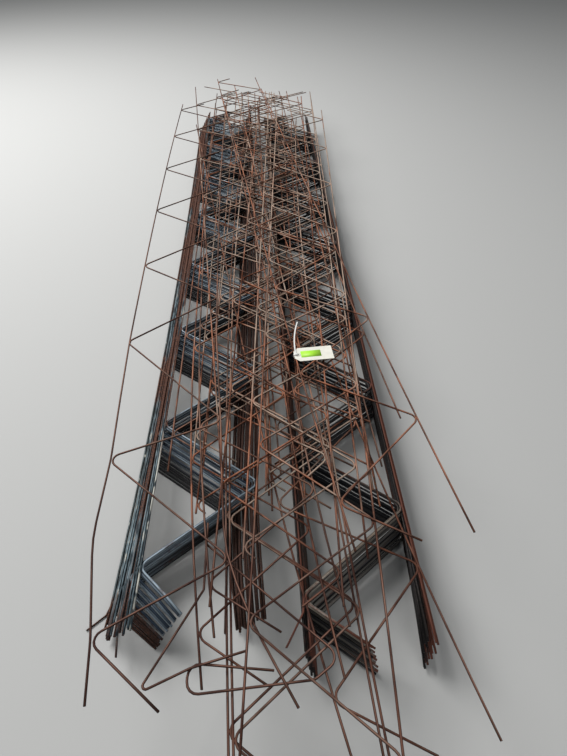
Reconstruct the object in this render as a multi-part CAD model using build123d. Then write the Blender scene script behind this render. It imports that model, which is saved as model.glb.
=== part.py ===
from build123d import *
import math
import os

# Heap of truss-type joint reinforcement for masonry walls. Each truss is two straight side
# rods with one zigzag rod welded between them, all of the same wire and in one plane.
# Two nested bundles lie side by side, loose trusses and two sprung rods are strewn over
# them, and a lot tag is tied to the topmost truss. X runs across the trusses, Y along them
# and Z up. Sizes are in millimetres and angles in degrees.

# One truss
wire = 4.76
truss_length = 3048.0
width_over_rods = 254.0
bend_pitch = 406.4
weld_sink = 0.5

# Wires that lie on each other keep this clearance, and it sets the pitch of the layers
rest_gap = 0.3
layer_pitch = wire + rest_gap

# The bundles: near end of the left side rod of the lowest and of the highest truss, heading
# (positive turns the far end to the right), distance from a truss's near end to its first
# bend, which is on the left side rod, sideways bow at mid length, sideways kink of the near
# end, which dies out over kink_reach and from the core to the highest truss, and how far
# single trusses stray sideways and lengthways from an even stack
kink_reach = 900.0
bundle_layers = 22
core_layers = 11
lengthways_stray = 1.5
left_bundle_bottom = (-70.0, -38.0)
left_bundle_top = (0.0, 0.0)
left_bundle_heading = -0.1
left_bundle_first_bend = 95.0
left_bundle_bow = 16.0
left_bundle_kink = -13.0
left_bundle_stray = 3.0
right_bundle_bottom = (365.0, -109.0)
right_bundle_top = (347.0, -91.0)
right_bundle_heading = -0.3
right_bundle_first_bend = 102.0
right_bundle_bow = 0.0
right_bundle_kink = 0.0
right_bundle_stray = 6.0

# The loose trusses from the lowest to the topmost: near end of the left side rod, heading,
# first bend and the side rod that it is on, sideways bow at mid length, and sideways kink
# of the near end, which dies out over kink_reach
LEFT, RIGHT = 0, 1
loose_trusses = (
    (121.0, 349.0, 0.6, 60.0, RIGHT, 0.0, 0.0),
    (35.0, 334.0, -0.2, 120.0, LEFT, 0.0, 0.0),
    (96.0, 350.0, 0.0, 90.0, LEFT, 0.0, 0.0),
    (289.0, 205.0, 0.2, 110.0, LEFT, 0.0, 0.0),
    (313.0, 303.0, -2.4, 150.0, LEFT, 0.0, 0.0),
    (116.0, 200.0, 1.5, 22.0, LEFT, 0.0, 0.0),
    (372.0, -300.0, -8.2, 112.0, LEFT, 0.0, 38.0),
    (276.0, 245.0, 2.0, 40.0, LEFT, 0.0, 0.0),
    (283.0, 230.0, -1.0, 60.0, RIGHT, 0.0, 0.0),
    (206.0, -302.0, 0.5, 74.0, LEFT, -45.0, 0.0),
    (215.0, -312.0, 0.8, 70.0, LEFT, -50.0, 0.0),
    (111.0, -167.0, -1.2, 92.0, LEFT, -20.0, 45.0),
    (135.0, -88.0, -1.8, 100.0, LEFT, -20.0, 40.0),
    (179.0, 233.0, -5.3, 50.0, RIGHT, 0.0, 0.0),
    (372.0, 387.0, -6.4, 137.0, LEFT, 0.0, 0.0),
    (227.0, 55.0, 2.6, 25.0, LEFT, 0.0, 0.0),
    (166.0, -39.0, 2.6, 65.0, RIGHT, 0.0, 0.0),
    (-63.0, -190.0, -1.5, 105.0, LEFT, -20.0, 0.0),
    (227.0, -327.0, 3.2, 50.0, RIGHT, 0.0, -5.0),
    (438.0, 48.0, -7.0, 112.0, LEFT, 0.0, 12.0),
)

# One loose truss has its near bays pulled out of shape, from its fifth bend to the near end.
# Its wires run on from there through these points, across and along from that bend.
pulled_truss = 18
pulled_bays = 4
pulled_radius = 18.0
pulled_rod_radius = 400.0
pulled_left_rod = ((7.0, -230.0), (14.0, -419.0), (9.0, -620.0), (42.0, -817.0), (52.0, -921.0))
pulled_zigzag = ((274.0, -321.0), (3.0, -416.0), (292.0, -686.0), (35.0, -816.0), (173.0, -938.0))
pulled_right_rod = ((265.0, -321.0), (271.0, -520.0), (277.0, -672.0), (330.0, -812.0), (399.0, -949.0))

# Two side rods that broke loose and sprang into bends lie on the twelfth loose truss, the
# hairpin under the vee: radius of the bends and the points that each runs through
trusses_under_rods = 12
hairpin_radius = 20.0
hairpin_route = (
    (150.0, 103.0),
    (403.0, -127.0),
    (352.0, -161.0),
    (130.0, -175.0),
    (130.0, -124.0),
    (282.0, -143.0),
)
vee_radius = 6.0
vee_route = ((150.0, 150.0), (150.0, 5.0), (47.0, -170.0), (135.0, -134.0), (233.0, -110.0))

# The lot tag: a card with clipped corners and an eyelet at one end. The strip between the
# eyelet and that end lies across the left side rod of the topmost truss, tag_place from its
# near end.
tag_length = 108.0
tag_width = 54.0
tag_thickness = 0.8
tag_corner = 13.0
eyelet_bore = 8.0
eyelet_inset = 10.0
tag_place = 590.0
tag_heading = 5.0

# The cable tie that holds the tag: a loop through the eyelet and round the side rod, its
# head and the loose tail
tie_width = 3.6
tie_thickness = 1.2
tie_clearance = 0.5
tie_head_length = 6.0
tie_head_height = 4.0
tie_tail_length = 145.0
tie_tail_radius = 400.0

# Derived sizes of one truss. A bend's centre line lies one wire inside the side rod's, less
# the weld's sink, and the zigzag climbs by the same slope in every bay.
rod_spacing = width_over_rods - wire
half_pitch = bend_pitch / 2
bend_inset = wire - weld_sink
slope = (rod_spacing - 2 * bend_inset) / half_pitch
zigzag_half = wire / 2 * math.hypot(1, slope)
gap_depth = rod_spacing - wire / 2 - bend_inset - zigzag_half
gap_reach = gap_depth / slope


def sideways(u, bow, kink=0.0):
    """how far the truss is bent to the right at distance u from its near end"""
    share = u / truss_length
    near = max(0.0, 1 - u / kink_reach)
    return 4 * bow * share * (1 - share) + kink * near**2


def truss_plan(first_bend, first_side, bow=0.0, kink=0.0):
    """plan of a truss: its outline less the triangular gap that faces each bend"""
    last = math.ceil((truss_length - first_bend) / half_pitch)
    bends = [(first_bend + half_pitch * k, (first_side + k) % 2) for k in range(-1, last + 1)]

    def point(u, v):
        return (v + sideways(u, bow, kink), u)

    def rod_edge(side, v):
        """the outer edge of a side rod, with a point at each bend if the truss is bent"""
        at_bends = [u for u, s in bends if s == side and 0 < u < truss_length]
        stations = [0.0, *(at_bends if bow or kink else []), truss_length]
        return [point(u, v) for u in stations]

    gaps = []
    for u, side in bends:
        if side == RIGHT:
            base, tip = wire / 2, wire / 2 + gap_depth
        else:
            base, tip = rod_spacing - wire / 2, rod_spacing - wire / 2 - gap_depth
        corners = point(u - gap_reach, base), point(u, tip), point(u + gap_reach, base)
        gaps.append(Polygon(*corners, align=None))
    left_edge = rod_edge(LEFT, -wire / 2)
    right_edge = rod_edge(RIGHT, rod_spacing + wire / 2)
    return Polygon(*left_edge, *reversed(right_edge), align=None) - gaps


def wire_plan(points, radius):
    """plan of a wire through points, with round bends"""
    return trace(FilletPolyline(*points, radius=radius), wire)


def lie(near_end, heading, level):
    """where a truss lies: near end of its left side rod, heading and level in the heap"""
    x, y = near_end
    return Pos(x, y, level * layer_pitch) * Rot(0, 0, -heading)


def flat(plan, layers=1, lean=(0.0, 0.0)):
    """solid on a plan: one truss, or a leaning core as thick as several layers"""
    thickness = wire + (layers - 1) * layer_pitch
    return Solid.extrude(plan.face(), Vector(*lean, thickness))


def pull_near_bays(plan, first_bend, bow):
    """a truss whose near bays are replaced by wires pulled out of shape"""
    bend = first_bend + pulled_bays * half_pitch
    left = sideways(bend, bow)
    reach = bend + rod_spacing
    near_bays = Pos(left + rod_spacing / 2, bend - reach / 2) * Rectangle(2 * reach, reach)
    truss = flat(plan - near_bays)
    for start, points, radius in (
        ((left, bend + wire), pulled_left_rod, pulled_rod_radius),
        ((left + bend_inset, bend), pulled_zigzag, pulled_radius),
        ((left + rod_spacing, bend + wire), pulled_right_rod, pulled_rod_radius),
    ):
        route = [start, *((left + across, bend + along) for across, along in points)]
        truss += flat(wire_plan(route, radius))
    return truss


def bundle(bottom, top, heading, first_bend, bow, kink, stray):
    """the plain core that the lowest layers form, and the separate trusses over it"""
    plan = truss_plan(first_bend, LEFT, bow, kink)
    step = [(b - a) / (bundle_layers - 1) for a, b in zip(bottom, top)]
    turn = math.radians(heading)
    across = step[0] * math.cos(turn) - step[1] * math.sin(turn)
    along = step[0] * math.sin(turn) + step[1] * math.cos(turn)
    rise = core_layers - 1
    core = lie(bottom, heading, 0) * flat(plan, core_layers, (across * rise, along * rise))
    trusses = []
    for level in range(core_layers, bundle_layers):
        fade = (bundle_layers - 1 - level) / (bundle_layers - core_layers)
        truss = flat(truss_plan(first_bend, LEFT, bow, kink * fade))
        x = bottom[0] + step[0] * level + stray * math.sin(2.4 * level)
        y = bottom[1] + step[1] * level + lengthways_stray * math.sin(1.7 * level)
        trusses.append(lie((x, y), heading, level) * truss)
    return core, trusses


def tag_card():
    """the card, with the middle of its clipped end at the origin and its length along X"""
    card = Pos(tag_length / 2, 0) * Rectangle(tag_length, tag_width)
    card = chamfer(card.vertices().group_by(Axis.X)[0], tag_corner)
    eyelet = Pos(eyelet_inset, 0) * Circle(eyelet_bore / 2)
    return extrude(card - eyelet, tag_thickness)


def cable_tie():
    """the tie in the card's frame: loop, head and tail, with Z up from the underside"""
    loop_left, loop_right = -tie_clearance, eyelet_inset
    loop_bottom = -(rest_gap + wire + tie_clearance)
    loop_top = tag_thickness + tie_clearance
    middle = (loop_left + loop_right) / 2
    inside = Rectangle(loop_right - loop_left, loop_top - loop_bottom)
    outside = offset(inside, tie_thickness, kind=Kind.INTERSECTION)
    loop = Plane.XZ * Pos(middle, (loop_bottom + loop_top) / 2) * (outside - inside)
    loop = extrude(loop, tie_width / 2, both=True)
    head_width = tie_width + 2 * tie_thickness
    head = Box(tie_head_length, head_width, tie_head_height)
    head = Pos(middle, 0, loop_top + tie_head_height / 2) * head
    sweep = math.degrees(tie_tail_length / tie_tail_radius)
    route = CenterArc((tie_tail_radius, 0), tie_tail_radius, 180, -sweep)
    tail = extrude(trace(route, tie_width), tie_thickness)
    tail = Pos(middle, 0, loop_top + tie_thickness) * tail
    return loop + head + tail


def build():
    """every node of the heap by name, as solids in the frame of the placements above"""
    nodes = {}
    bundles = {
        "left_bundle": (
            left_bundle_bottom,
            left_bundle_top,
            left_bundle_heading,
            left_bundle_first_bend,
            left_bundle_bow,
            left_bundle_kink,
            left_bundle_stray,
        ),
        "right_bundle": (
            right_bundle_bottom,
            right_bundle_top,
            right_bundle_heading,
            right_bundle_first_bend,
            right_bundle_bow,
            right_bundle_kink,
            right_bundle_stray,
        ),
    }
    for name, sizes in bundles.items():
        core, trusses = bundle(*sizes)
        nodes[f"{name}_core"] = [core]
        nodes[f"{name}_trusses"] = trusses
    level = bundle_layers
    for number, (x, y, heading, first_bend, side, *bent) in enumerate(loose_trusses, 1):
        plan = truss_plan(first_bend, side, *bent)
        truss = pull_near_bays(plan, first_bend, bent[0]) if number == pulled_truss else flat(plan)
        top = lie((x, y), heading, level)
        nodes[f"loose_truss_{number:02d}"] = [top * truss]
        level += 1
        if number == trusses_under_rods:
            for name, route, radius in (
                ("hairpin_rod", hairpin_route, hairpin_radius),
                ("vee_rod", vee_route, vee_radius),
            ):
                rod = flat(wire_plan(route, radius))
                nodes[name] = [Pos(0, 0, level * layer_pitch) * rod]
                level += 1
    strip_middle = (eyelet_inset - eyelet_bore / 2) / 2
    on_rod = top * Pos(sideways(tag_place, *bent), tag_place, wire + rest_gap)
    on_rod *= Rot(0, 0, heading + tag_heading) * Pos(-strip_middle, 0)
    nodes["lot_tag"] = [on_rod * tag_card()]
    nodes["cable_tie"] = [on_rod * cable_tie()]
    return nodes


# The origin is on the floor, under the middle of the heap's bounding box
nodes = build()
heap = Compound([solid for solids in nodes.values() for solid in solids]).bounding_box()
to_origin = Pos(-heap.center().X, -heap.center().Y, -heap.min.Z)
os.makedirs("parts", exist_ok=True)
for name, solids in nodes.items():
    moved = [to_origin * solid for solid in solids]
    export_step(Compound(moved) if len(moved) > 1 else moved[0], f"parts/{name}.step")
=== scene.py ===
import math

import bmesh
import bpy
from mathutils import Matrix, Vector


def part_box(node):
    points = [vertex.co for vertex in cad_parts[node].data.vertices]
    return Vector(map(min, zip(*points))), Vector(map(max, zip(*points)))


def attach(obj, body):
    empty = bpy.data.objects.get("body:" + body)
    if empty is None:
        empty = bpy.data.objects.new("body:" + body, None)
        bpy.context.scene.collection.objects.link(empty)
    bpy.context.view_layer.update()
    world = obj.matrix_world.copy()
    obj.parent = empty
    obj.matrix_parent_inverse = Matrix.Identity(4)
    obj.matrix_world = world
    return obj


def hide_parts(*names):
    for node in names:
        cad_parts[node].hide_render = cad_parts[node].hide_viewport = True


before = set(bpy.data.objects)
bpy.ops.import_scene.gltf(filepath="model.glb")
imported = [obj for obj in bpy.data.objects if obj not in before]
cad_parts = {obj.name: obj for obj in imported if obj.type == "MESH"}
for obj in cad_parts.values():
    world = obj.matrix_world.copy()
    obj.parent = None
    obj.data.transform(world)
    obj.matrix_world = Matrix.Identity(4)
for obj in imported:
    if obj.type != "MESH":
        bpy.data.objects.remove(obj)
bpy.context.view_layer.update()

# The heap
# Two nested bundles of joint reinforcement for masonry lie side by side on the floor, with
# loose trusses strewn over them. Places are given from the near end of the left bundle's
# top truss, X across the trusses and Y along them.

wire = 0.00476

# The third loose truss lies square, so its box tells where that point is in the frame
square_truss = (0.096, 0.350)
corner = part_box("loose_truss_03")[0]
to_frame = Vector((corner[0] + wire / 2 - square_truss[0], corner[1] - square_truss[1], 0))

# One truss
# Two straight side rods and one zigzag rod, all of the same drawn steel wire. The zigzag is
# bent round a pin at each side, and its bends are resistance-welded to the inside of the rods.

truss_length = 3.048
width_over_rods = 0.254
half_pitch = 0.4064 / 2
bend_radius = 0.018
sprung_radius = 0.4
weld_sink = 0.0005
weld_reach = 0.03
bead_radius = wire * 0.62
bead_shape = (0.9, 1.5, 0.75, 1)
wire_sides = 8
LEFT, RIGHT, LEG = 0, 1, 2

rod_spacing = width_over_rods - wire
bend_inset = wire - weld_sink
climb = rod_spacing - 2 * bend_inset - 2 * bend_radius
leg_angle = math.atan2(climb, half_pitch) + math.asin(2 * bend_radius / math.hypot(climb, half_pitch))
corner_inset = bend_inset + bend_radius - bend_radius / math.cos(leg_angle)


class Wire:
    """a wire that grows from a cut end in the plan of a truss, as in a wire bender"""

    longest_span = 0.12
    steps_per_radian = 2.6

    def __init__(self, mesh, start, heading):
        self.mesh, self.at, self.heading = mesh, Vector((*start, 0)), heading
        turn = Matrix.Rotation(-heading, 4, "Z") @ Matrix.Rotation(-math.pi / 2, 4, "X")
        place = Matrix.Translation(self.at) @ turn
        disc = bmesh.ops.create_circle(
            mesh, cap_ends=True, radius=wire / 2, segments=wire_sides, matrix=place
        )
        self.rim = list({edge for vert in disc["verts"] for edge in vert.link_edges})

    def straight(self, length):
        spans = max(1, math.ceil(length / self.longest_span))
        step = Vector((math.sin(self.heading), math.cos(self.heading), 0)) * length / spans
        for _ in range(spans):
            grown = bmesh.ops.extrude_edge_only(self.mesh, edges=self.rim)["geom"]
            verts = [item for item in grown if isinstance(item, bmesh.types.BMVert)]
            bmesh.ops.translate(self.mesh, verts=verts, vec=step)
            fresh = set(verts)
            edges = {edge for vert in verts for edge in vert.link_edges}
            self.rim = [edge for edge in edges if fresh.issuperset(edge.verts)]
            self.at += step

    def bend(self, turn, radius):
        """turns the wire, to the right where turn is positive"""
        steps = max(2, round(abs(turn) * self.steps_per_radian))
        side = math.copysign(1, turn)
        centre = self.at + Vector((math.cos(self.heading), -math.sin(self.heading), 0)) * radius * side
        spun = bmesh.ops.spin(
            self.mesh,
            geom=self.rim,
            cent=centre,
            axis=(0, 0, 1),
            angle=-turn,
            steps=steps,
            use_duplicate=False,
        )
        self.rim = [item for item in spun["geom_last"] if isinstance(item, bmesh.types.BMEdge)]
        self.at = centre + Matrix.Rotation(-turn, 3, "Z") @ (self.at - centre)
        self.heading += turn

    def cut(self):
        bmesh.ops.edgeloop_fill(self.mesh, edges=self.rim)


def draw_wire(mesh, points, radius):
    """a wire from the first point to the last, with a round bend at each point between"""
    headings, lengths = [], []
    for (x0, y0), (x1, y1) in zip(points, points[1:]):
        headings.append(math.atan2(x1 - x0, y1 - y0))
        lengths.append(math.hypot(x1 - x0, y1 - y0))
    turns = [math.remainder(b - a, 2 * math.pi) for a, b in zip(headings, headings[1:])]
    tangents = [radius * math.tan(abs(turn) / 2) for turn in turns]
    rod = Wire(mesh, points[0], headings[0])
    for length, before, after, turn in zip(lengths, [0, *tangents], [*tangents, 0], [*turns, 0]):
        rod.straight(length - before - after)
        if abs(turn) > 0.001:
            rod.bend(turn, radius)
    rod.cut()


def zigzag_corners(first_bend, first_side):
    """where the legs of the zigzag would meet at its bends, and its two cut ends"""
    station, side = first_bend - half_pitch, 1 - first_side
    corners = []
    while station < truss_length + half_pitch:
        corners.append((corner_inset if side == LEFT else rod_spacing - corner_inset, station))
        station, side = station + half_pitch, 1 - side
    for end, inner, cut in ((0, 1, 0), (-1, -2, truss_length)):
        (x0, y0), (x1, y1) = corners[end], corners[inner]
        corners[end] = (x0 + (x1 - x0) * (cut - y0) / (y1 - y0), cut)
    return corners


def truss(first_bend, first_side, pulled_bays=0, pulled=None):
    """a straight truss flat on the plan, with its left side rod along Y, as mesh data"""
    mesh = bmesh.new()
    heat = mesh.verts.layers.float.new("heat")
    corners = zigzag_corners(first_bend, first_side)
    welds = [
        (0 if x < rod_spacing / 2 else rod_spacing, y) for x, y in corners[pulled_bays + 1 : -1]
    ]
    bend = welds[0][1] if pulled else 0
    left_end, zigzag_end, right_end = [
        [(x, bend + y) for x, y in reversed(route)] for route in pulled or ((), (), ())
    ]
    for across, pulled_end in ((0, left_end), (rod_spacing, right_end)):
        stations = [y + reach for x, y in welds if x == across for reach in (-weld_reach, 0, weld_reach)]
        regular = [bend, *(y for y in stations if bend < y < truss_length), truss_length]
        draw_wire(mesh, pulled_end + [(across, y) for y in regular], sprung_radius)
    start = zigzag_end if pulled else corners[:1]
    draw_wire(mesh, start + corners[pulled_bays + 1 :], bend_radius)
    for x, y in welds:
        inside = bend_inset / 2 if x == 0 else rod_spacing - bend_inset / 2
        bead = Matrix.Translation((inside, y, 0)) @ Matrix.Diagonal(bead_shape)
        bmesh.ops.create_uvsphere(mesh, u_segments=8, v_segments=5, radius=bead_radius, matrix=bead)
    for vert in mesh.verts:
        near = min(math.hypot(vert.co.x - x, vert.co.y - y) for x, y in welds)
        vert[heat] = max(0, 1 - near / weld_reach)
    bmesh.ops.recalc_face_normals(mesh, faces=mesh.faces)
    data = bpy.data.meshes.new("truss_pattern")
    mesh.to_mesh(data)
    mesh.free()
    return data


# The left bundle
# Twenty-two trusses nested flat, leaning to the left towards the floor. The wire has a dull
# grey-blue zinc coat. Rust breaks through it along the right side rods, on the left rods of
# the middle layers and at the near ends of the lowest. Painted shade darkens the legs of the
# lower layers and the underside of every wire.

bundle_layers = 22
core_layers = 11
lengthways_stray = 0.0015
sideways_rhythm = 2.4
lengthways_rhythm = 1.7
left_first_bend = 0.095
left_bundle_bottom = (-0.070, -0.038)
left_bundle_top = (0.0, 0.0)
left_bundle_heading = -0.1
left_bundle_bow = 0.016
left_bundle_kink = -0.013
left_bundle_stray = 0.003

# How far the near ends have sprung across and along, in the lowest layer and the top one
left_rods_sprung = ((0, 0.022), (0, -0.038))
right_rods_sprung = ((0.036, 0.024), (0.018, -0.026))
legs_sprung = ((0, 0), (-0.018, -0.010))
lowest_right_rod_across = 0.012
single_ends_sprung = {0: (-0.038, 0.045), 1: (0, 0.050), 2: (0, 0.042), 9: (0.016, -0.045)}
ends_wobble = 0.005
ends_rhythm = 5.1

# Wires that lie on each other keep a hair's clearance, and levels are counted in this pitch.
# The free length of a rod or leg is the part short of its first weld, which can spring. A
# truss's tone, from 0 to 1, steps by the golden share, so that neighbours differ.
layer_pitch = wire + 0.0003
kink_reach = 0.9
free_lengths = {LEFT: 0.085, RIGHT: 0.28, LEG: 0.085}
spring_curve = 1.4
golden_share = 0.618


def new_heap():
    heap = bmesh.new()
    # One attribute carries both a layer's wear and its painted light: painted shade for the low layers of
    # the left bundle, a painted highlight for the top layers of the right one.
    for name in ("heat", "tone", "age_and_light", "crown", "zigzag"):
        heap.verts.layers.float.new(name)
    return heap


def lay(heap, pattern, near_end, heading, level, tone, age_and_light, bow, kink, held=0, sprung=None):
    """adds a copy of a truss to a heap's mesh, bent sideways, turned and at its level; the
    near ends of its wires, short of their first welds, may have sprung across and along"""
    before = len(heap.verts)
    heap.from_mesh(pattern)
    heap.verts.ensure_lookup_table()
    tones = heap.verts.layers.float["tone"]
    age_and_light_layer = heap.verts.layers.float["age_and_light"]
    crowns = heap.verts.layers.float["crown"]
    zigzags = heap.verts.layers.float["zigzag"]
    place = Matrix.Translation(to_frame + Vector((*near_end, wire / 2 + level * layer_pitch)))
    place @= Matrix.Rotation(math.radians(-heading), 4, "Z")
    for vert in heap.verts[before:]:
        part = LEFT if vert.co.x < wire else RIGHT if vert.co.x > rod_spacing - wire else LEG
        vert[crowns] = 2 * vert.co.z / wire
        vert[zigzags] = float(part == LEG)
        station = max(held, vert.co.y)
        if sprung and part in sprung and vert.co.y < free_lengths[part]:
            free = 1 - vert.co.y / free_lengths[part]
            vert.co.x += sprung[part][0] * free**spring_curve
            vert.co.y += sprung[part][1] * free
        share = station / truss_length
        near = max(0, 1 - station / kink_reach)
        vert.co.x += 4 * bow * share * (1 - share) + kink * near**2
        vert.co = place @ vert.co
        vert[tones] = tone
        vert[age_and_light_layer] = age_and_light


def between(lowest, top, level):
    """a layer's place or shift, which changes evenly from the lowest layer to the top one"""
    share = level / (bundle_layers - 1)
    return [a + (b - a) * share for a, b in zip(lowest, top)]


def left_sprung(level):
    """the higher the layer, the further its side rods reach, and the less they spread"""
    wobble = ends_wobble * math.sin(ends_rhythm * level)
    left_across, left_along = between(*left_rods_sprung, level)
    right_across, right_along = between(*right_rods_sprung, level)
    return {
        LEFT: single_ends_sprung.get(level, (left_across, left_along + wobble)),
        RIGHT: (right_across if level else lowest_right_rod_across, right_along - wobble),
        LEG: between(*legs_sprung, level),
    }


def settle(mesh, name, slot_name, material, *nodes):
    """makes a finished bmesh an object that rides on the heap and stands for its CAD nodes"""
    data = bpy.data.meshes.new(name)
    mesh.to_mesh(data)
    mesh.free()
    for polygon in data.polygons:
        polygon.use_smooth = True
    piece = bpy.data.objects.new(name, data)
    bpy.context.collection.objects.link(piece)
    data.materials.append(material)
    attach(piece, "root")
    if nodes:
        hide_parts(*nodes)


def bundle(
    name, pattern, bottom, top, heading, bow, kink, stray, sprung, age_and_light_of, levels, slot_name, material, node
):
    """makes some levels of a bundle one piece, from the places of its lowest and top layers"""
    heap = new_heap()
    for level in levels:
        x, y = between(bottom, top, level)
        x += stray * math.sin(sideways_rhythm * level)
        y += lengthways_stray * math.sin(lengthways_rhythm * level)
        tone = level * golden_share % 1
        fade = min(1, (bundle_layers - 1 - level) / (bundle_layers - core_layers))
        lay(
            heap, pattern, (x, y), heading, level, tone, age_and_light_of(level), bow, kink * fade, sprung=sprung(level)
        )
    settle(heap, name, slot_name, material, node)


class Socket:
    """a shader node's output that can be added, multiplied and subtracted in expressions"""

    def __init__(self, tree, output):
        self.tree, self.output = tree, output

    def maths(self, operation, first, second):
        node = self.tree.nodes.new("ShaderNodeMath")
        node.operation = operation
        for socket, value in zip(node.inputs, (first, second)):
            if isinstance(value, Socket):
                self.tree.links.new(value.output, socket)
            else:
                socket.default_value = value
        return Socket(self.tree, node.outputs[0])

    def __add__(self, other):
        return self.maths("ADD", self, other)

    def __radd__(self, other):
        return self.maths("ADD", other, self)

    def __sub__(self, other):
        return self.maths("SUBTRACT", self, other)

    def __rsub__(self, other):
        return self.maths("SUBTRACT", other, self)

    def __mul__(self, other):
        return self.maths("MULTIPLY", self, other)

    def __rmul__(self, other):
        return self.maths("MULTIPLY", other, self)


class Finish:
    """a material made of nodes, on the object's own coordinates"""

    def __init__(self, name):
        self.material = bpy.data.materials.new(name)
        self.material.use_nodes = True
        self.tree = self.material.node_tree
        self.shader = self.tree.nodes["Principled BSDF"]
        self.place = self.node("ShaderNodeTexCoord", out="Object")

    def node(self, kind, out=0, settings=None, **sockets):
        node = self.tree.nodes.new(kind)
        for key, value in (settings or {}).items():
            setattr(node, key, value)
        for key, value in sockets.items():
            self.feed(node.inputs[key.replace("_", " ")], value)
        return Socket(self.tree, node.outputs[out])

    def feed(self, socket, value):
        if isinstance(value, Socket):
            self.tree.links.new(value.output, socket)
        else:
            socket.default_value = value

    def noise(self, scale, detail=3.0, roughness=0.55, stretch=(1, 1, 1)):
        place = self.place
        if stretch != (1, 1, 1):
            place = self.node("ShaderNodeMapping", Vector=self.place, Scale=stretch)
        return self.node(
            "ShaderNodeTexNoise", Vector=place, Scale=scale, Detail=detail, Roughness=roughness
        )

    def station(self, axis):
        """how far across, on X, or along, on Y, from the near end of the left bundle's top truss"""
        start = to_frame.x if axis == "X" else to_frame.y
        return self.node("ShaderNodeSeparateXYZ", out=axis, Vector=self.place) - start

    def attribute(self, name):
        return self.node("ShaderNodeAttribute", out="Fac", settings={"attribute_name": name})

    def band(self, value, low, high):
        """0 below low, 1 above high, and smooth between"""
        node = self.tree.nodes.new("ShaderNodeMapRange")
        node.interpolation_type = "SMOOTHSTEP"
        for key, entry in (("Value", value), ("From Min", low), ("From Max", high)):
            self.feed(node.inputs[key], entry)
        return Socket(self.tree, node.outputs[0])

    def blend(self, factor, first, second):
        """from the first colour to the second"""
        node = self.tree.nodes.new("ShaderNodeMix")
        node.data_type = "RGBA"
        for index, value in ((0, factor), (6, first), (7, second)):
            if isinstance(value, tuple):
                value = (*value, 1)
            self.feed(node.inputs[index], value)
        return Socket(self.tree, node.outputs[2])

    def set(self, **sockets):
        for key, value in sockets.items():
            self.feed(self.shader.inputs[key.replace("_", " ")], value)

    def relief(self, height, distance):
        bump = self.node("ShaderNodeBump", Height=height, Distance=distance)
        self.feed(self.shader.inputs["Normal"], bump)


leg_dark_zinc = (0.020, 0.032, 0.050)
leg_pale_zinc = (0.25, 0.305, 0.35)
low_leg_shade_black = (0.014, 0.014, 0.015)
rod_dark_zinc = (0.022, 0.033, 0.040)
rod_grey_zinc = (0.145, 0.195, 0.22)
low_rod_dull = (0.040, 0.043, 0.038)
bare_dash = (0.48, 0.46, 0.40)
pitted_rust = (0.026, 0.012, 0.009)
brown_rust = (0.13, 0.052, 0.030)
low_leg_rust_in_painted_shade = (0.022, 0.016, 0.015)
right_rod_rust = (0.018, 0.009, 0.007)
zinc_painted_shade = (0.007, 0.007, 0.008)

zinc = Finish("weathered_zinc")
tone = zinc.attribute("tone")
age_and_light = zinc.attribute("age_and_light")
crown = zinc.attribute("crown")
rod = 1 - zinc.attribute("zigzag")
across = zinc.station("X")
along = zinc.station("Y")
cloud = zinc.noise(9, stretch=(1, 0.35, 1))
grain = zinc.noise(260, 3)
dashes = zinc.noise(70, 2, stretch=(1, 0.3, 1))
leg_dull = zinc.blend(zinc.band(tone + cloud * 0.5, 0.4, 1.0), leg_dark_zinc, leg_pale_zinc)
# Painted shade: the legs of the lower layers, away from the near ends, are darkened to near black.
low_leg_painted_shade = zinc.band(age_and_light + cloud * 0.3, 0.6, 0.85) * zinc.band(along, 0.05, 0.2)
leg_dull = zinc.blend(low_leg_painted_shade, leg_dull, low_leg_shade_black)
rod_dull = zinc.blend(zinc.band(dashes, 0.4, 0.62), rod_dark_zinc, rod_grey_zinc)
rod_dull = zinc.blend(zinc.band(age_and_light + cloud * 0.4, 0.75, 1.1) * 0.65, rod_dull, low_rod_dull)
pale_dash = zinc.band(dashes + tone * 0.25, 0.67, 0.77)
rod_dull = zinc.blend(pale_dash * 0.75, rod_dull, bare_dash)
dull = zinc.blend(rod, leg_dull, rod_dull)
rust = zinc.blend(zinc.band(grain, 0.35, 0.65), pitted_rust, brown_rust)
middle = zinc.band(age_and_light, 0.08, 0.2) * zinc.band(age_and_light, 0.62, 0.4)
worn = (zinc.band(across, 0.13, 0.21) + zinc.band(along, 0.4, 0.75) * 0.7 + middle * 0.75) * rod
low_ends = zinc.band(age_and_light, 0.45, 0.75) * zinc.band(along, 0.11, 0.06) * 0.4
rusting = zinc.band(cloud + dashes * 0.4 + tone * 0.16 + worn * 0.35 + low_ends, 0.88, 1.06)
# Painted shade also darkens the rust on the legs of the lower layers.
rust = zinc.blend(zinc.band(age_and_light, 0.4, 0.7) * (1 - rod) * 0.45, rust, low_leg_rust_in_painted_shade)
coat = zinc.blend(rusting, dull, rust)
coat = zinc.blend(zinc.band(across, 0.12, 0.2) * rod * 0.65, coat, right_rod_rust)
# Painted shade darkens each wire from just below its top down to its underside.
zinc.set(
    Base_Color=zinc.blend(zinc.band(crown, 0.55, -0.25) * 0.92, coat, zinc_painted_shade),
    Roughness=rusting * 0.2 + 0.6,
    Metallic=(1 - rusting) * 0.3,
    Specular_IOR_Level=0.25,
)
zinc.relief(grain, 0.0003)

left_pattern = truss(left_first_bend, LEFT)


def left_age_and_shade(level):
    """the lower the layer, the further its zinc has gone and the deeper its painted shade"""
    return 1 - level / (bundle_layers - 1)


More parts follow.
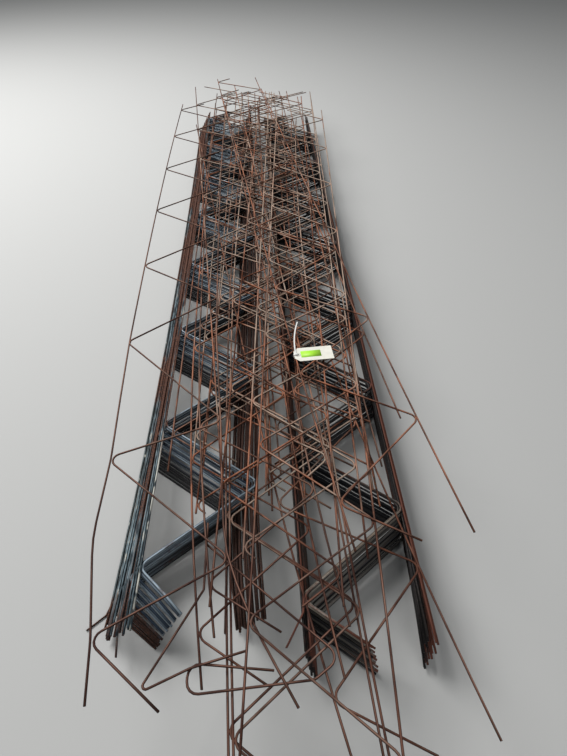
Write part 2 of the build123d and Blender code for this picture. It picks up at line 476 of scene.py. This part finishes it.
for name, levels, node in (
    ("left_bundle_lowest", range(core_layers), "left_bundle_core"),
    ("left_bundle_upper", range(core_layers, bundle_layers), "left_bundle_trusses"),
):
    bundle(
        name,
        left_pattern,
        left_bundle_bottom,
        left_bundle_top,
        left_bundle_heading,
        left_bundle_bow,
        left_bundle_kink,
        left_bundle_stray,
        left_sprung,
        left_age_and_shade,
        levels,
        "galvanised_wire",
        zinc.material,
        node,
    )

# The right bundle
# Twenty-two of the same trusses with no zinc left to see: dark browned steel, with a painted
# tan highlight on the top layers' near legs, painted shade under every wire, and redder rust
# on the right side rods and at the cut ends.

right_bundle_bottom = (0.365, -0.109)
right_bundle_top = (0.347, -0.091)
right_bundle_heading = -0.3
right_bundle_bow = 0.0
right_bundle_kink = 0.0
right_bundle_stray = 0.006
right_first_bend = 0.102
spread_rods_sprung = ((-0.022, 0.008), (-0.002, 0.008))
spread_wobble = 0.004
spread_rhythm = 3.7
topmost_end_sprung = (-0.041, 0.008)

leg_dark_steel = (0.016, 0.016, 0.018)
leg_grey_steel = (0.10, 0.093, 0.085)
painted_highlight_tan = (0.32, 0.26, 0.20)
far_leg_blue = (0.026, 0.031, 0.040)
near_leg_pale = (0.30, 0.28, 0.25)
rod_dark_steel = (0.014, 0.012, 0.012)
rod_brown_steel = (0.075, 0.060, 0.052)
dark_red = (0.030, 0.012, 0.009)
brick_red = (0.13, 0.046, 0.030)
browned_painted_shade = (0.008, 0.007, 0.007)

browned = Finish("browned_steel")
tone = browned.attribute("tone")
age_and_light = browned.attribute("age_and_light")
crown = browned.attribute("crown")
grain = browned.noise(190, 4)
cloud = browned.noise(8, stretch=(1, 0.4, 1))
across = browned.station("X")
along = browned.station("Y")
rod = 1 - browned.attribute("zigzag")
far = browned.band(along, 0.16, 0.26)
uneven = tone + cloud * 0.5
# Painted highlight: the legs of the top layers are lightened to tan, less so towards the far end.
top_painted_highlight = browned.band(age_and_light + cloud * 0.2, 0.88, 1.08) * (1 - far * 0.75)
near_lines = browned.band(uneven, 0.5, 0.9) * browned.band(along, 0.14, 0.0)
leg_steel = browned.blend(browned.band(uneven, 0.4, 1.0), leg_dark_steel, leg_grey_steel)
leg_steel = browned.blend(top_painted_highlight * 0.75, leg_steel, painted_highlight_tan)
leg_steel = browned.blend(far * 0.45, leg_steel, far_leg_blue)
leg_steel = browned.blend(near_lines * 0.7, leg_steel, near_leg_pale)
rod_steel = browned.blend(browned.band(tone + grain, 0.7, 1.4), rod_dark_steel, rod_brown_steel)
steel = browned.blend(rod, leg_steel, rod_steel)
streak = browned.noise(50, 3, stretch=(1, 0.25, 1))
red = browned.blend(browned.band(tone + streak * 0.8, 0.4, 1.2), dark_red, brick_red)
worn = (browned.band(across, 0.585, 0.605) + browned.band(across, 0.45, 0.35) * 0.2) * rod
cut_ends = browned.band(along, 0.0, -0.09) * 0.18
rusting = browned.band(cloud * 0.6 + grain * 0.35 + tone * 0.5 + worn * 0.4 + cut_ends, 0.88, 1.1)
coat = browned.blend(rusting, steel, red)
# Painted shade darkens each wire below its top, the rods more than the legs.
painted_underside_shade = browned.band(crown + (1 - rod) * 0.5, 0.65, -0.1)
browned.set(
    Base_Color=browned.blend(painted_underside_shade * 0.9, coat, browned_painted_shade),
    Roughness=rusting * 0.25 + 0.5,
    Metallic=(1 - rusting) * 0.35,
    Specular_IOR_Level=0.2,
)
browned.relief(grain, 0.0003)

right_pattern = truss(right_first_bend, LEFT)


def right_sprung(level):
    """the right side rods spread to the left, and the topmost truss's left rod stands off"""
    wobble = spread_wobble * math.sin(spread_rhythm * level)
    rod_across, rod_along = between(*spread_rods_sprung, level)
    ends = {RIGHT: (rod_across + wobble, rod_along - 2 * wobble)}
    if level == bundle_layers - 1:
        ends[LEFT] = topmost_end_sprung
    return ends


def right_painted_highlight(level):
    """the higher the layer, the stronger its painted highlight"""
    return level / bundle_layers


for name, levels, node in (
    ("right_bundle_lowest", range(core_layers), "right_bundle_core"),
    ("right_bundle_upper", range(core_layers, bundle_layers), "right_bundle_trusses"),
):
    bundle(
        name,
        right_pattern,
        right_bundle_bottom,
        right_bundle_top,
        right_bundle_heading,
        right_bundle_bow,
        right_bundle_kink,
        right_bundle_stray,
        right_sprung,
        right_painted_highlight,
        levels,
        "dark_wire",
        browned.material,
        node,
    )

# The loose trusses
# Bare wire in red-brown rust, worn to tan in places, and burnt bright at the welds. The tan
# lies on the upper half of the wires and is partly a painted highlight. Painted shade darkens
# the near end, the left and the underside of each wire, and a painted highlight runs along
# the tops of the near wires. They lie over both bundles at slight angles. One has its near
# bays pulled out of shape, and its wires end in wide bends.

# Each near end's place across and along, the heading in degrees, the place and side of the
# first bend, the bow and the kink
loose_trusses = (
    (0.121, 0.349, 0.6, 0.060, RIGHT, 0, 0),
    (0.035, 0.334, -0.2, 0.120, LEFT, 0, 0),
    (0.096, 0.350, 0.0, 0.090, LEFT, 0, 0),
    (0.289, 0.205, 0.2, 0.110, LEFT, 0, 0),
    (0.313, 0.303, -2.4, 0.150, LEFT, 0, 0),
    (0.116, 0.200, 1.5, 0.022, LEFT, 0, 0),
    (0.372, -0.300, -8.2, 0.112, LEFT, 0, 0.038),
    (0.276, 0.245, 2.0, 0.040, LEFT, 0, 0),
    (0.283, 0.230, -1.0, 0.060, RIGHT, 0, 0),
    (0.206, -0.302, 0.5, 0.074, LEFT, -0.045, 0),
    (0.215, -0.312, 0.8, 0.070, LEFT, -0.050, 0),
    (0.111, -0.167, -1.2, 0.092, LEFT, -0.020, 0.045),
    (0.135, -0.088, -1.8, 0.100, LEFT, -0.020, 0.040),
    (0.179, 0.233, -5.3, 0.050, RIGHT, 0, 0),
    (0.372, 0.387, -6.4, 0.137, LEFT, 0, 0),
    (0.227, 0.055, 2.6, 0.025, LEFT, 0, 0),
    (0.166, -0.039, 2.6, 0.065, RIGHT, 0, 0),
    (-0.063, -0.190, -1.5, 0.105, LEFT, -0.020, 0),
    (0.227, -0.327, 3.2, 0.050, RIGHT, 0, -0.005),
    (0.438, 0.048, -7.0, 0.112, LEFT, 0, 0.012),
)

# The pulled wires run through these points, given across and along from the fifth bend
pulled_truss = 18
pulled_bays = 4
pulled_left_rod = ((0.007, -0.230), (0.014, -0.419), (0.009, -0.620), (0.042, -0.817), (0.052, -0.921))
pulled_zigzag = ((0.274, -0.321), (0.003, -0.416), (0.292, -0.686), (0.035, -0.816), (0.173, -0.938))
pulled_right_rod = ((0.265, -0.321), (0.271, -0.520), (0.277, -0.672), (0.330, -0.812), (0.399, -0.949))

deep_rust = (0.013, 0.005, 0.003)
red_rust = (0.14, 0.040, 0.016)
orange_rust = (0.29, 0.074, 0.020)
grey_rust = (0.035, 0.022, 0.018)
worn_and_highlight_tan = (0.36, 0.295, 0.235)
sheen_tan = (0.50, 0.34, 0.26)
near_painted_shade = (0.034, 0.013, 0.010)
near_highlight_tan = (0.46, 0.24, 0.17)
rusty_painted_shade = (0.011, 0.005, 0.004)
weld_orange = (0.46, 0.13, 0.03)

rusty = Finish("red_rust")
tone = rusty.attribute("tone")
heat = rusty.attribute("heat")
grain = rusty.noise(240, 4)
cloud = rusty.noise(11, stretch=(1, 0.4, 1))
streak = rusty.noise(22, 3, stretch=(1, 0.5, 1))
crown = rusty.attribute("crown")
across = rusty.station("X")
along = rusty.station("Y")
leg = rusty.attribute("zigzag")
base = rusty.blend(rusty.band(grain, 0.32, 0.68), deep_rust, red_rust)
base = rusty.blend(rusty.band(streak, 0.46, 0.58) * 0.7, base, orange_rust)
base = rusty.blend(rusty.band(tone - cloud * 0.5, 0.15, -0.15) * 0.65, base, grey_rust)
far = rusty.band(along, 0.5, 1.3)
# Tan laid only on the upper half of each wire: partly wear, partly a painted highlight on the wire tops.
worn = rusty.band(cloud + tone * 0.5 + leg * 0.12 + far * 0.14, 0.86, 1.08) * rusty.band(crown, -0.1, 0.8)
base = rusty.blend(worn * 0.75, base, worn_and_highlight_tan)
sheen = rusty.band(crown, 0.45, 1.0) * rusty.band(streak + cloud * 0.4, 0.5, 0.8)
base = rusty.blend(sheen * 0.28, base, sheen_tan)
# Painted shade darkens the wires towards the near end and at the left.
near_or_left = rusty.band(along, 0.35, -0.05) + rusty.band(across, 0.04, -0.06)
near_or_left = rusty.band(near_or_left, 0, 1)
base = rusty.blend(near_or_left * 0.8, base, near_painted_shade)
# A painted highlight runs along the tops of those near and left wires.
near_painted_highlight = near_or_left * rusty.band(crown, 0.75, 1.0) * rusty.band(cloud, 0.42, 0.6)
base = rusty.blend(near_painted_highlight * 0.42, base, near_highlight_tan)
# Painted shade darkens each wire below its top.
base = rusty.blend(rusty.band(crown, 0.75, -0.1) * 0.88, base, rusty_painted_shade)
burnt = rusty.band(heat + grain * 0.5, 0.55, 1.0) * 0.85
rusty.set(
    Base_Color=rusty.blend(burnt, base, weld_orange),
    Roughness=0.7,
    Specular_IOR_Level=0.15,
)
rusty.relief(grain, 0.0003)

trusses_under_rods = 12
sprung_rod_levels = 2
for number, (x, y, heading, first_bend, side, bow, kink) in enumerate(loose_trusses, 1):
    heap = new_heap()
    level = bundle_layers + number - 1
    if number > trusses_under_rods:
        level += sprung_rod_levels
    if number == pulled_truss:
        pattern = truss(first_bend, side, pulled_bays, (pulled_left_rod, pulled_zigzag, pulled_right_rod))
        held = first_bend + pulled_bays * half_pitch
    else:
        pattern = truss(first_bend, side)
        held = 0
    lay(heap, pattern, (x, y), heading, level, number * golden_share % 1, 0, bow, kink, held)
    node = f"loose_truss_{number:02d}"
    settle(heap, node + "_wires", "rusty_wire", rusty.material, node)

# The sprung rods
# Two side rods that broke loose and sprang into bends, the hairpin under the vee. They lie
# on the twelfth loose truss and have the same rust.

hairpin_route = (
    (0.150, 0.103),
    (0.403, -0.127),
    (0.352, -0.161),
    (0.130, -0.175),
    (0.130, -0.124),
    (0.282, -0.143),
)
vee_route = ((0.150, 0.150), (0.150, 0.005), (0.047, -0.170), (0.135, -0.134), (0.233, -0.110))
hairpin_radius = 0.020
vee_radius = 0.006

for above, (node, route, radius) in enumerate(
    (("hairpin_rod", hairpin_route, hairpin_radius), ("vee_rod", vee_route, vee_radius))
):
    rod = new_heap()
    draw_wire(rod, route, radius)
    for vert in rod.verts:
        vert[rod.verts.layers.float["crown"]] = 2 * vert.co.z / wire
    level = bundle_layers + trusses_under_rods + above
    bmesh.ops.translate(rod, verts=rod.verts, vec=to_frame + Vector((0, 0, wire / 2 + level * layer_pitch)))
    bmesh.ops.recalc_face_normals(rod, faces=rod.faces)
    settle(rod, node + "_wire", "rusty_wire", rusty.material, node)

# The lot tag
# A white card with clipped corners. A paper washer rings its eyelet, and a plain green label
# is stuck on the upper face.

eyelet_inset = 0.010
washer_radii = (0.004, 0.0075)
washer_thickness = 0.0003
label_length = 0.056
label_width = 0.026
label_middle = 0.047
label_thickness = 0.0002
tag_place = 0.590
tag_heading = 5.0
tag_thickness = 0.0008
strip_middle = (eyelet_inset - washer_radii[0]) / 2
card_cream = (0.67, 0.655, 0.58)
card_white = (0.74, 0.725, 0.645)
label_green = (0.33, 0.71, 0.03)
label_light_green = (0.40, 0.77, 0.06)

x, y, heading, _, _, bow, kink = loose_trusses[-1]
top_level = bundle_layers + len(loose_trusses) + sprung_rod_levels - 1
near = 1 - tag_place / kink_reach
share = tag_place / truss_length
tag_frame = Matrix.Translation(to_frame + Vector((x, y, top_level * layer_pitch)))
tag_frame @= Matrix.Rotation(math.radians(-heading), 4, "Z")
tag_frame @= Matrix.Translation((4 * bow * share * (1 - share) + kink * near**2, tag_place, layer_pitch))
tag_frame @= Matrix.Rotation(math.radians(heading + tag_heading), 4, "Z")
tag_frame @= Matrix.Translation((-strip_middle, 0, 0))

card = Finish("tag_card")
card_shade = card.band(card.noise(60), 0.3, 0.7)
card.set(Base_Color=card.blend(card_shade, card_cream, card_white), Roughness=0.7)
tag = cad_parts["lot_tag"]
tag.data.materials.clear()
tag.data.materials.append(card.material)

washer = bmesh.new()
rims = [
    edge
    for radius in washer_radii
    for vert in bmesh.ops.create_circle(washer, radius=radius, segments=24)["verts"]
    for edge in vert.link_edges
]
ring = bmesh.ops.bridge_loops(washer, edges=list(set(rims)))["faces"]
bmesh.ops.solidify(washer, geom=ring, thickness=washer_thickness)
lowest = min(vert.co.z for vert in washer.verts)
bmesh.ops.translate(washer, verts=washer.verts, vec=(eyelet_inset, 0, tag_thickness - lowest))
bmesh.ops.transform(washer, matrix=tag_frame, verts=washer.verts)
bmesh.ops.recalc_face_normals(washer, faces=washer.faces)
settle(washer, "eyelet_washer", "tag_card", card.material)

label = bmesh.new()
bmesh.ops.create_cube(label, size=1)
bmesh.ops.scale(label, verts=label.verts, vec=(label_length, label_width, label_thickness))
bmesh.ops.translate(label, verts=label.verts, vec=(label_middle, 0, tag_thickness + label_thickness / 2))
bmesh.ops.transform(label, matrix=tag_frame, verts=label.verts)
green = Finish("green_label")
green_shade = green.band(green.noise(90), 0.3, 0.7)
green.set(Base_Color=green.blend(green_shade, label_green, label_light_green), Roughness=0.5)
settle(label, "tag_label", None, green.material)

# The cable tie
# Natural white nylon. It is looped through the tag's eyelet and round the left side rod of
# the topmost truss, and its tail is left long.

natural_white = (0.7, 0.7, 0.68, 1)

nylon = Finish("white_nylon")
nylon.set(Base_Color=natural_white, Roughness=0.4)
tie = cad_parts["cable_tie"]
tie.data.materials.clear()
tie.data.materials.append(nylon.material)

# The floor, the lights and the camera
# A plain pale floor, soft light from the left and a weak fill, both aimed at the heap's
# middle. The camera stands as fitted to the bends of the left bundle's top truss, and its
# focal length is in pixels of the picture.

floor_reach = 12
floor_grey = (0.42, 0.42, 0.41, 1)
lights = (
    ("key", (-3.1, 1.6, 4.4), 3.0, 490),
    ("fill", (2.0, -4.0, 4.0), 4.0, 75),
)
sky_colour = (0.9, 0.95, 1, 1)
sky_strength = 0.14
focal_pixels = 524
picture_height_pixels = 756
sensor = 36
camera_place = (0.284, -0.447, 1.1856)
camera_pitch = 0.7701
camera_turn = 0.0473

floor_mesh = bmesh.new()
bmesh.ops.create_grid(floor_mesh, x_segments=1, y_segments=1, size=floor_reach)
floor_data = bpy.data.meshes.new("floor")
floor_mesh.to_mesh(floor_data)
floor_mesh.free()
floor = bpy.data.objects.new("floor", floor_data)
bpy.context.collection.objects.link(floor)
pale = Finish("pale_floor")
pale.set(Base_Color=floor_grey, Roughness=0.9)
floor_data.materials.append(pale.material)

for name, place, size, power in lights:
    lamp = bpy.data.lights.new(name, "AREA")
    lamp.size = size
    lamp.energy = power
    light = bpy.data.objects.new(name, lamp)
    light.location = place
    light.rotation_euler = (-Vector(place)).to_track_quat("-Z", "Y").to_euler()
    bpy.context.collection.objects.link(light)

world = bpy.data.worlds.new("soft_sky")
bpy.context.scene.world = world
world.use_nodes = True
sky = world.node_tree.nodes["Background"]
sky.inputs["Color"].default_value = sky_colour
sky.inputs["Strength"].default_value = sky_strength

camera_data = bpy.data.cameras.new("camera")
camera_data.sensor_width = sensor
camera_data.lens = sensor * focal_pixels / picture_height_pixels
camera = bpy.data.objects.new("camera", camera_data)
camera.location = to_frame + Vector(camera_place)
camera.rotation_euler = (math.pi / 2 - camera_pitch, 0, -camera_turn)
bpy.context.collection.objects.link(camera)
bpy.context.scene.camera = camera
bpy.context.scene.view_settings.view_transform = "Standard"
